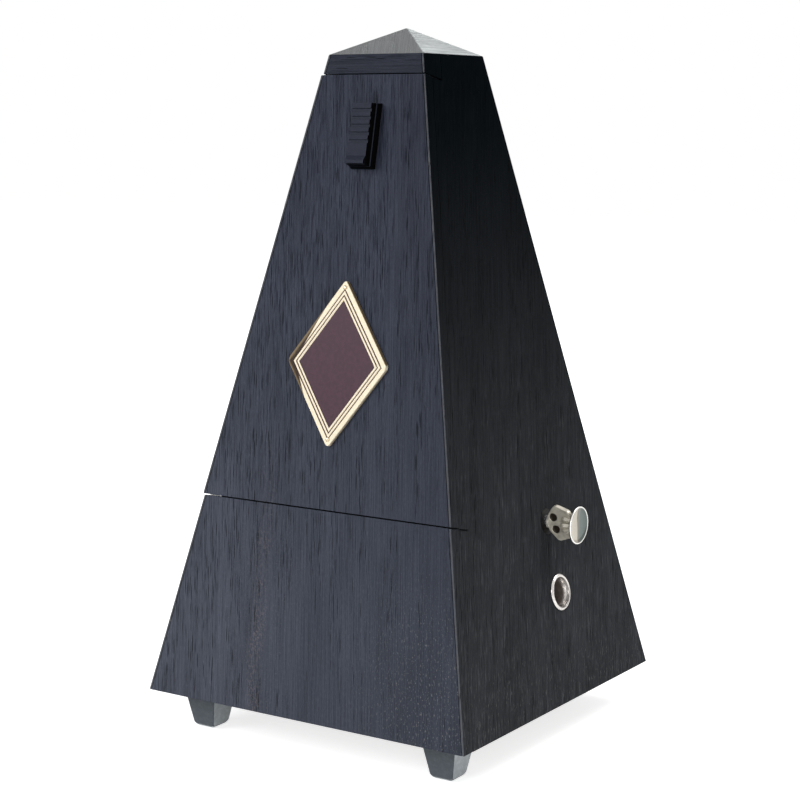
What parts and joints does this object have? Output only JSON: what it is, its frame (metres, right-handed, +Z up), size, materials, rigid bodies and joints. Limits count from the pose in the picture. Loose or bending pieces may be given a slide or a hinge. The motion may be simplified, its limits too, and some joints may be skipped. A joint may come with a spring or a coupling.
{
  "type": "metronome",
  "caption": "Clockwork metronome: tapering four-sided wooden body with a lift-off front cover, lozenge badge, side winding key, bell pull and an inner pendulum movement.",
  "frame": {"origin": "centre of the floor square under the body, on which its three feet stand", "axes": "+Z up, the front cover faces -Y, the winding key stands out on +X"},
  "size_m": [0.1178, 0.1178, 0.2212],
  "materials": {
    "front_wood": "blue-black stained oak, open grain, satin",
    "side_wood": "black stained oak, satin",
    "inner_wood": "plain pale wood",
    "scale_wood": "varnished wood",
    "foot_black": "black satin",
    "badge_face": "plum-brown enamel with a cream rim",
    "cream_metal": "pale brass, worn",
    "latch_black": "black moulded, satin",
    "nickel": "polished nickel",
    "steel": "plain steel",
    "brass": "turned brass",
    "blued_spring": "blued spring steel",
    "iron": "painted cast iron",
    "scale_metal": "printed scale sheet"
  },
  "bodies": {
    "body": {"base_board": "inner_wood", "back_panel": "side_wood", "left_panel": "side_wood", "right_panel": "side_wood", "front_panel": "front_wood", "head_rail": "front_wood", "top_cap": "side_wood", "corner_blocks": "inner_wood", "foot": "foot_black", "foot_screw": "steel", "side_eyelet": "nickel", "key_bush": "brass", "scale_board": "scale_wood", "scale_plate": "scale_metal", "scale_pin": "brass", "rod_clip": "steel", "catch_stud": "steel", "left_plate": "brass", "right_plate": "brass", "pillar": "brass", "pillar_screw": "steel", "plate_bracket": "steel", "bracket_screw": "steel", "verge_bar": "brass", "verge_cock": "brass", "crown_cock": "brass", "click_screw": "steel", "click_spring": "steel", "bell_post": "steel", "bell": "brass"},
    "cover": {"cover_board": "front_wood", "cover_left_cheek": "side_wood", "cover_right_cheek": "side_wood", "cover_rail": "inner_wood", "cover_tongue": "brass", "badge": "badge_face", "badge_nail": "cream_metal", "latch_housing": "latch_black"},
    "latch": {"latch_button": "latch_black", "catch_plate": "steel"},
    "winding": {"winding_arbor": "steel", "winding_key": "nickel", "key_knob": "nickel", "ratchet_wheel": "steel"},
    "click": {"click": "steel"},
    "barrel": {"barrel": "brass", "great_wheel": "brass", "mainspring": "blued_spring", "bell_cams": "brass"},
    "second": {"second_arbor": "steel", "second_wheel": "brass"},
    "crown": {"crown_arbor": "steel", "crown_wheel": "brass"},
    "pendulum": {"verge": "steel", "pendulum_rod": "steel", "counterweight": "iron"},
    "weight": {"sliding_weight": "brass"},
    "bell_pull": {"bell_pull": "steel"},
    "hammer": {"bell_hammer": "steel"}
  },
  "joints": [
    {"name": "cover_tilt", "type": "hinge", "parent": "body", "child": "cover", "pos_m": [0, -0.04625, 0.07587], "axis": [1, 0, 0], "range_deg": [0, 40]},
    {"name": "latch_slide", "type": "slide", "parent": "cover", "child": "latch", "axis": [0, -0.2027, -0.9792], "range_m": [0, 0.0025], "stiffness_N_per_m": 150},
    {"name": "key_turn", "type": "hinge", "parent": "body", "child": "winding", "pos_m": [0, 0.0092, 0.0682], "axis": [1, 0, 0], "continuous": true},
    {"name": "click_lift", "type": "hinge", "parent": "body", "child": "click", "pos_m": [0, 0.0212, 0.0802], "axis": [-1, 0, 0], "range_deg": [0, 12], "stiffness_Nm_per_rad": 0.002},
    {"name": "barrel_spin", "type": "hinge", "parent": "body", "child": "barrel", "pos_m": [0, 0.0092, 0.0682], "axis": [1, 0, 0], "continuous": true},
    {"name": "second_spin", "type": "hinge", "parent": "body", "child": "second", "pos_m": [0, -0.01029, 0.07601], "axis": [1, 0, 0], "continuous": true},
    {"name": "crown_spin", "type": "hinge", "parent": "body", "child": "crown", "pos_m": [0, -0.02037, 0.06573], "axis": [1, 0, 0], "continuous": true},
    {"name": "pendulum_swing", "type": "hinge", "parent": "body", "child": "pendulum", "pos_m": [0, -0.04035, 0.06986], "axis": [0, 0.9792, -0.2027], "range_deg": [-6.5, 6.5]},
    {"name": "weight_slide", "type": "slide", "parent": "pendulum", "child": "weight", "axis": [0, 0.2027, 0.9792], "range_m": [-0.025, 0.045]},
    {"name": "bell_pull_slide", "type": "slide", "parent": "body", "child": "bell_pull", "axis": [1, 0, 0], "range_m": [0, 0.012]},
    {"name": "hammer_lift", "type": "hinge", "parent": "bell_pull", "child": "hammer", "pos_m": [0, 0.0097, 0.0459], "axis": [1, 0, 0], "range_deg": [0, 12]}
  ],
  "couplings": [
    {"joint": "second_spin", "follows": "barrel_spin", "ratio": -6},
    {"joint": "crown_spin", "follows": "barrel_spin", "ratio": 30}
  ]
}
